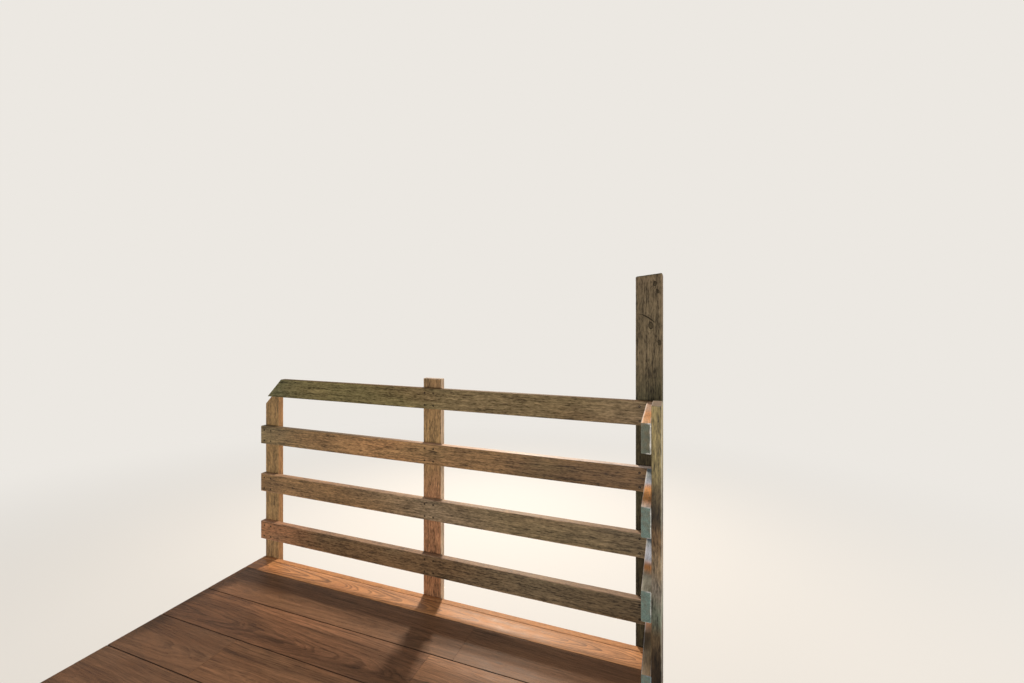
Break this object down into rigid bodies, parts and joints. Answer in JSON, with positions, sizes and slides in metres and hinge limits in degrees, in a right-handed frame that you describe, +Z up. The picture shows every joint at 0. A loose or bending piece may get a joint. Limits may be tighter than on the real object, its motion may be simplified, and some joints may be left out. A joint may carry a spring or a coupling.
{
  "type": "sleeping loft deck with guard rail",
  "caption": "Joisted sleeping loft deck with a board guard rail, corner return, tall newel and ladder notch.",
  "frame": {"origin": "middle of the bounding box, on the plane that the ledgers and the fascia stand on", "axes": "+X to the right along the guard as seen from the loft, +Y out over the open edge, +Z up"},
  "size_m": [2.337, 2.1938, 1.6169],
  "materials": {
    "post_stain": "rubbed brown stain, satin",
    "newel_stain": "near-black rough-sawn stain, matt",
    "rail_stain": "weathered brown-grey stain, satin",
    "fascia_stain": "dark brown stain, satin",
    "edge_board_wood": "clear satin finish over cathedral grain",
    "floor_wood": "brown satin planks",
    "plywood": "bare plywood",
    "joist_wood": "bare sawn softwood",
    "galvanised_steel": "zinc-coated steel"
  },
  "bodies": {
    "root": {"left_post": "post_stain", "middle_post": "post_stain", "corner_newel": "newel_stain", "return_post": "post_stain", "top_rail": "rail_stain", "upper_rail": "rail_stain", "lower_rail": "rail_stain", "bottom_rail": "rail_stain", "return_top_rail": "rail_stain", "return_upper_rail": "rail_stain", "return_lower_rail": "rail_stain", "return_bottom_rail": "rail_stain", "front_fascia": "fascia_stain", "notch_side_fascia": "fascia_stain", "notch_back_fascia": "fascia_stain", "edge_board": "edge_board_wood", "floor_main": "floor_wood", "floor_side": "floor_wood", "subfloor_left": "plywood", "subfloor_middle": "plywood", "subfloor_right": "plywood", "front_rim_joist": "joist_wood", "rear_rim_joist": "joist_wood", "joist_1": "joist_wood", "joist_2": "joist_wood", "joist_3": "joist_wood", "joist_4": "joist_wood", "notch_header_1": "joist_wood", "notch_header_2": "joist_wood", "left_ledger": "joist_wood", "right_ledger": "joist_wood", "rear_ledger": "joist_wood", "corner_brackets": "galvanised_steel"}
  },
  "joints": []
}
